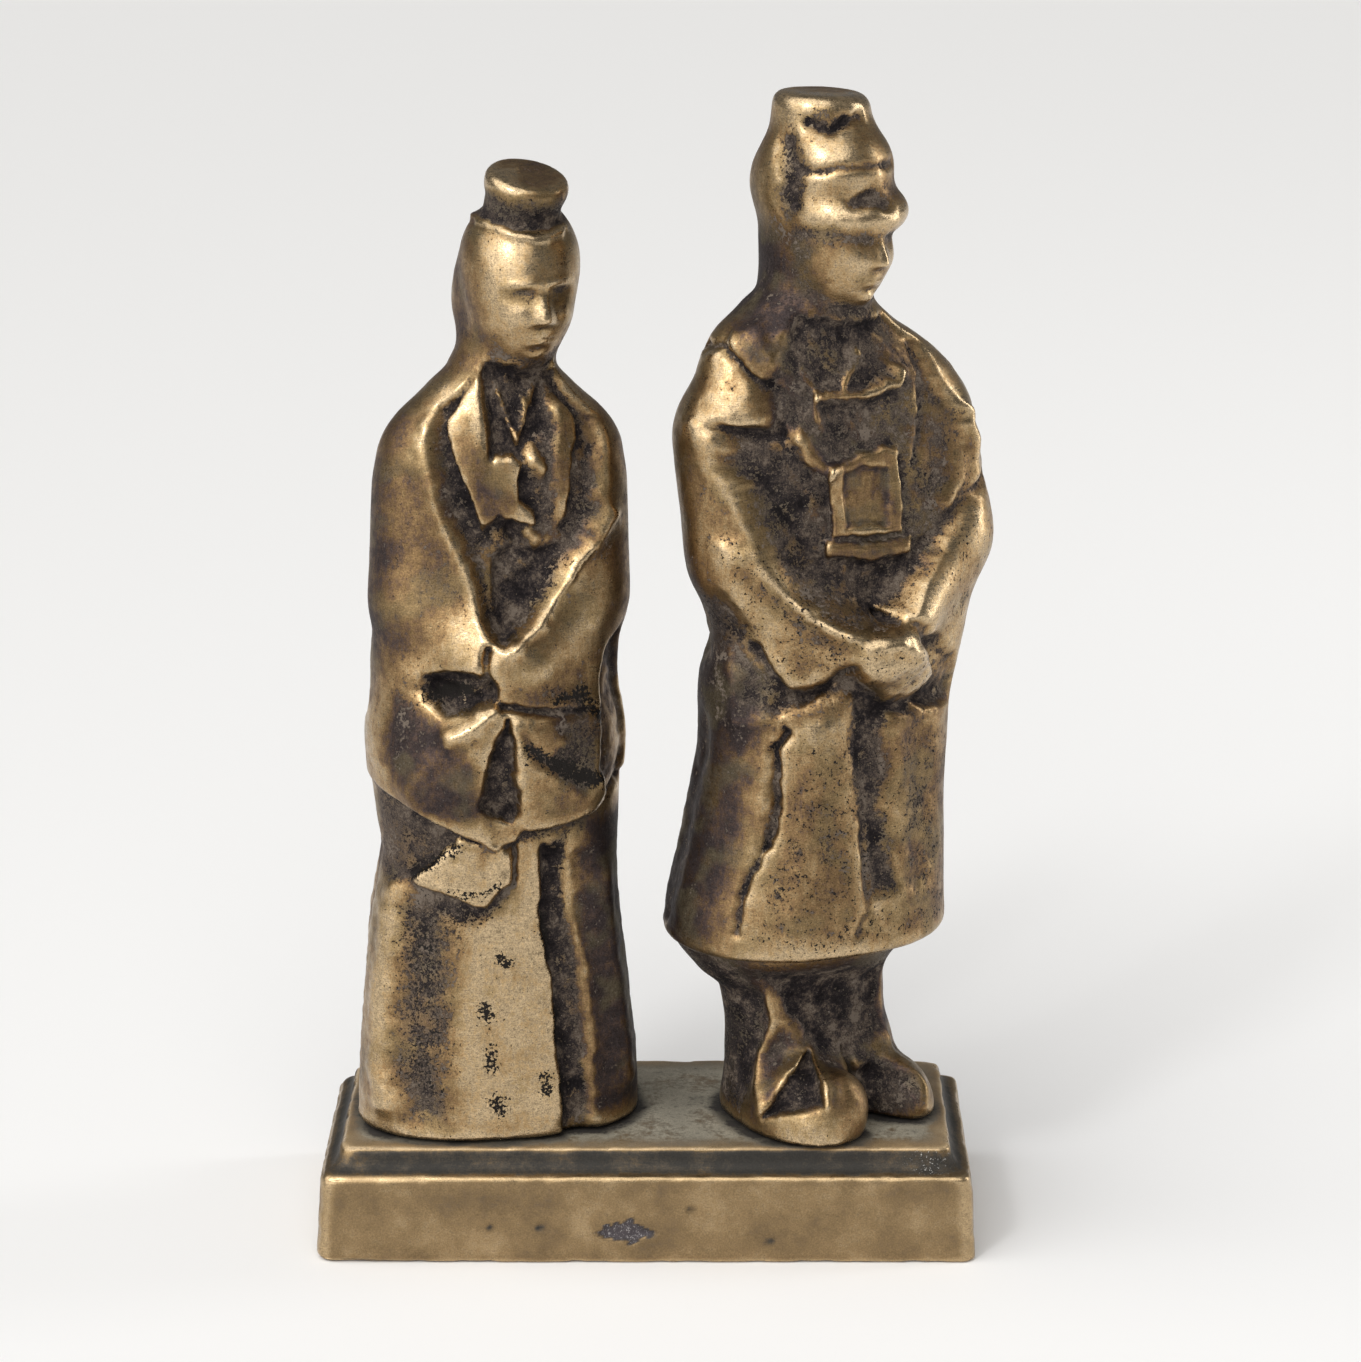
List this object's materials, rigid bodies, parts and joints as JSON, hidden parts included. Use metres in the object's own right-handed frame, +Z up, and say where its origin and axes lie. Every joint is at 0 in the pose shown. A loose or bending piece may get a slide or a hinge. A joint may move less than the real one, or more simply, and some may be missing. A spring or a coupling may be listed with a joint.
{
  "type": "figurine",
  "caption": "Small cast brass group of a robed lady and gentleman standing side by side on an oblong stepped plinth.",
  "frame": {"origin": "middle of the plinth's underside", "axes": "+Z up along the figures, X along the plinth's long side, the figures look towards -Y"},
  "size_m": [0.0623, 0.026, 0.1059],
  "materials": {
    "plinth_brass": "brushed, dull with age",
    "figure_brass": "worn bright on the ridges, dark in the hollows"
  },
  "bodies": {
    "root": {"plinth": "plinth_brass", "left_figure": "figure_brass", "right_figure": "figure_brass"}
  },
  "joints": []
}
